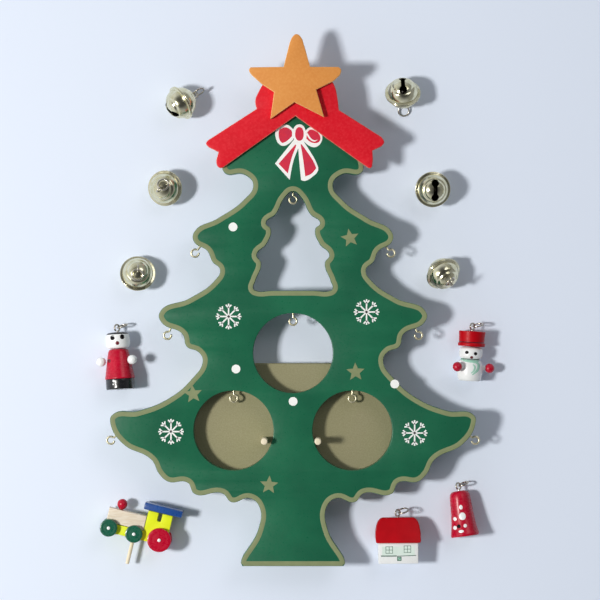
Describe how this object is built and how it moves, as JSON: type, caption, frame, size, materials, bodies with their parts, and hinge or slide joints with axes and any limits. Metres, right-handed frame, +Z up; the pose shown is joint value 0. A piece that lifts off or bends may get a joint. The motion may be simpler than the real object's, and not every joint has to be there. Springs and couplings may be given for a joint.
{
  "type": "wooden christmas tree with ornaments",
  "caption": "Flat painted wooden fir tree with star, bow and wire hooks, its pegged base plate, and loose jingle bells and wooden ornaments to hang on it.",
  "frame": {"origin": "centre of the base plate's underside, on the surface that the set lies on", "axes": "+Y from the tree's foot towards its star, +Z up out of the faces as the set lies flat, +X towards the right-hand branches"},
  "size_m": [0.2103, 0.2788, 0.025],
  "materials": {
    "green_paint": "glossy dark green paint on board",
    "red_paint": "red paint on wood",
    "orange_paint": "matt orange paint on board",
    "white_paint": "white paint on wood",
    "yellow_paint": "yellow paint on wood",
    "blue_paint": "blue paint on wood",
    "bare_wood": "bare sanded wood",
    "khaki_board": "matt khaki board",
    "pale_brass": "bright pale gold plating",
    "bright_wire": "bright plated wire"
  },
  "bodies": {
    "base": {"base_plate": "khaki_board"},
    "tree": {"tree_board": "green_paint", "bow_plate": "red_paint", "star_plate": "orange_paint", "branch_hook_left_1": "bright_wire", "branch_hook_left_2": "bright_wire", "branch_hook_left_3": "bright_wire", "branch_hook_right_1": "bright_wire", "branch_hook_right_2": "bright_wire", "branch_hook_right_3": "bright_wire", "cutout_hook_left": "bright_wire", "cutout_hook_right": "bright_wire", "cutout_hook_upper": "bright_wire", "cutout_hook_window": "bright_wire"},
    "bell_1": {"bell_1_shell": "pale_brass"},
    "bell_1_pellet": {"bell_1_pellet": "bright_wire"},
    "bell_1_ring": {"bell_1_ring": "bright_wire"},
    "bell_2": {"bell_2_shell": "pale_brass"},
    "bell_2_pellet": {"bell_2_pellet": "bright_wire"},
    "bell_2_ring": {"bell_2_ring": "bright_wire"},
    "bell_3": {"bell_3_shell": "pale_brass"},
    "bell_3_pellet": {"bell_3_pellet": "bright_wire"},
    "bell_3_ring": {"bell_3_ring": "bright_wire"},
    "bell_4": {"bell_4_shell": "pale_brass"},
    "bell_4_pellet": {"bell_4_pellet": "bright_wire"},
    "bell_4_ring": {"bell_4_ring": "bright_wire"},
    "bell_5": {"bell_5_shell": "pale_brass"},
    "bell_5_pellet": {"bell_5_pellet": "bright_wire"},
    "bell_5_ring": {"bell_5_ring": "bright_wire"},
    "bell_6": {"bell_6_shell": "pale_brass"},
    "bell_6_pellet": {"bell_6_pellet": "bright_wire"},
    "bell_6_ring": {"bell_6_ring": "bright_wire"},
    "soldier": {"soldier_body": "red_paint", "soldier_head": "white_paint", "soldier_hand_left": "white_paint", "soldier_hand_right": "white_paint", "soldier_eye": "bright_wire"},
    "soldier_ring": {"soldier_ring": "bright_wire"},
    "snowman": {"snowman_body": "white_paint", "snowman_head": "white_paint", "snowman_hat": "red_paint", "snowman_mitten_left": "red_paint", "snowman_mitten_right": "red_paint", "snowman_eye": "bright_wire"},
    "snowman_ring": {"snowman_ring": "bright_wire"},
    "house": {"house_walls": "white_paint", "house_roof": "red_paint", "house_eye": "bright_wire"},
    "house_ring": {"house_ring": "bright_wire"},
    "drop_bell": {"drop_bell_body": "red_paint", "drop_bell_eye": "bright_wire"},
    "drop_bell_ring": {"drop_bell_ring": "bright_wire"},
    "train": {"train_body": "yellow_paint", "train_boiler": "bare_wood", "train_chimney": "red_paint", "train_roof": "blue_paint", "train_peg": "bare_wood"},
    "train_wheels_front": {"train_wheels_front": "green_paint"},
    "train_wheels_middle": {"train_wheels_middle": "green_paint"},
    "train_wheels_rear": {"train_wheels_rear": "red_paint"}
  },
  "joints": [
    {"name": "tree_lift", "type": "slide", "parent": "base", "child": "tree", "axis": [0, 0, 1], "range_m": [0, 0.03]},
    {"name": "bell_1_lift", "type": "slide", "parent": "base", "child": "bell_1", "axis": [0, 0, 1], "range_m": [0, 0.04]},
    {"name": "bell_1_pellet_roll", "type": "hinge", "parent": "bell_1", "child": "bell_1_pellet", "pos_m": [-0.05832, 0.17268, 0.00885], "axis": [1, 0, 0], "range_deg": [-35, 35]},
    {"name": "bell_2_lift", "type": "slide", "parent": "base", "child": "bell_2", "axis": [0, 0, 1], "range_m": [0, 0.04]},
    {"name": "bell_2_pellet_roll", "type": "hinge", "parent": "bell_2", "child": "bell_2_pellet", "pos_m": [-0.0667, 0.12759, 0.00819], "axis": [1, 0, 0], "range_deg": [-35, 35]},
    {"name": "bell_3_lift", "type": "slide", "parent": "base", "child": "bell_3", "axis": [0, 0, 1], "range_m": [0, 0.04]},
    {"name": "bell_3_pellet_roll", "type": "hinge", "parent": "bell_3", "child": "bell_3_pellet", "pos_m": [-0.08114, 0.0825, 0.00812], "axis": [1, 0, 0], "range_deg": [-35, 35]},
    {"name": "bell_4_lift", "type": "slide", "parent": "base", "child": "bell_4", "axis": [0, 0, 1], "range_m": [0, 0.04]},
    {"name": "bell_4_pellet_roll", "type": "hinge", "parent": "bell_4", "child": "bell_4_pellet", "pos_m": [0.05897, 0.1778, 0.00928], "axis": [1, 0, 0], "range_deg": [-35, 35]},
    {"name": "bell_5_lift", "type": "slide", "parent": "base", "child": "bell_5", "axis": [0, 0, 1], "range_m": [0, 0.04]},
    {"name": "bell_5_pellet_roll", "type": "hinge", "parent": "bell_5", "child": "bell_5_pellet", "pos_m": [0.07477, 0.12682, 0.01108], "axis": [1, 0, 0], "range_deg": [-35, 35]},
    {"name": "bell_6_lift", "type": "slide", "parent": "base", "child": "bell_6", "axis": [0, 0, 1], "range_m": [0, 0.04]},
    {"name": "bell_6_pellet_roll", "type": "hinge", "parent": "bell_6", "child": "bell_6_pellet", "pos_m": [0.08035, 0.0825, 0.00814], "axis": [1, 0, 0], "range_deg": [-35, 35]},
    {"name": "bell_1_ring_swing", "type": "hinge", "parent": "bell_1", "child": "bell_1_ring", "pos_m": [-0.04968, 0.17777, 0.0049], "axis": [-0.4609, 0.8033, -0.3774], "range_deg": [-10, 130]},
    {"name": "bell_2_ring_swing", "type": "hinge", "parent": "bell_2", "child": "bell_2_ring", "pos_m": [-0.06841, 0.12782, 0.01736], "axis": [-0.0667, 0.1577, 0.9852], "range_deg": [-70, 65]},
    {"name": "bell_3_ring_swing", "type": "hinge", "parent": "bell_3", "child": "bell_3_ring", "pos_m": [-0.08061, 0.08341, 0.0174], "axis": [0.0406, -0.0779, 0.9961], "range_deg": [-70, 65]},
    {"name": "bell_4_ring_swing", "type": "hinge", "parent": "bell_4", "child": "bell_4_ring", "pos_m": [0.05922, 0.17059, 0.00164], "axis": [-0.0084, 0.2418, -0.9703], "range_deg": [-60, 95]},
    {"name": "bell_5_ring_swing", "type": "hinge", "parent": "bell_5", "child": "bell_5_ring", "pos_m": [0.0735, 0.12942, 0.00165], "axis": [-0.1257, -0.2327, -0.9644], "range_deg": [-70, 95]},
    {"name": "bell_6_ring_swing", "type": "hinge", "parent": "bell_6", "child": "bell_6_ring", "pos_m": [0.08323, 0.0772, 0.01624], "axis": [0.6552, -0.6949, 0.2966], "range_deg": [-40, 125]},
    {"name": "soldier_lift", "type": "slide", "parent": "base", "child": "soldier", "axis": [0, 0, 1], "range_m": [0, 0.04]},
    {"name": "soldier_ring_swing", "type": "hinge", "parent": "soldier", "child": "soldier_ring", "pos_m": [-0.09108, 0.05429, 0.00468], "axis": [-0.2996, 0.9375, 0.1772], "range_deg": [-35, 60]},
    {"name": "snowman_lift", "type": "slide", "parent": "base", "child": "snowman", "axis": [0, 0, 1], "range_m": [0, 0.04]},
    {"name": "snowman_ring_swing", "type": "hinge", "parent": "snowman", "child": "snowman_ring", "pos_m": [0.09717, 0.05497, 0.00583], "axis": [-0.184, 0.9527, 0.2418], "range_deg": [-35, 145]},
    {"name": "house_lift", "type": "slide", "parent": "base", "child": "house", "axis": [0, 0, 1], "range_m": [0, 0.04]},
    {"name": "house_ring_swing", "type": "hinge", "parent": "house", "child": "house_ring", "pos_m": [0.0575, -0.04323, 0.00808], "axis": [-0.2498, 0.9068, 0.3397], "range_deg": [-35, 145]},
    {"name": "drop_bell_lift", "type": "slide", "parent": "base", "child": "drop_bell", "axis": [0, 0, 1], "range_m": [0, 0.04]},
    {"name": "drop_bell_ring_swing", "type": "hinge", "parent": "drop_bell", "child": "drop_bell_ring", "pos_m": [0.08973, -0.02956, 0.00369], "axis": [-0.3649, 0.919, 0.1495], "range_deg": [-35, 20]},
    {"name": "train_lift", "type": "slide", "parent": "base", "child": "train", "axis": [0, 0, 1], "range_m": [0, 0.04]},
    {"name": "train_wheels_front_spin", "type": "hinge", "parent": "train", "child": "train_wheels_front", "pos_m": [-0.09619, -0.0516, 0.0072], "axis": [0, 0, 1], "continuous": true},
    {"name": "train_wheels_middle_spin", "type": "hinge", "parent": "train", "child": "train_wheels_middle", "pos_m": [-0.08288, -0.05483, 0.0072], "axis": [0, 0, 1], "continuous": true},
    {"name": "train_wheels_rear_spin", "type": "hinge", "parent": "train", "child": "train_wheels_rear", "pos_m": [-0.06956, -0.05805, 0.0072], "axis": [0, 0, 1], "continuous": true}
  ]
}
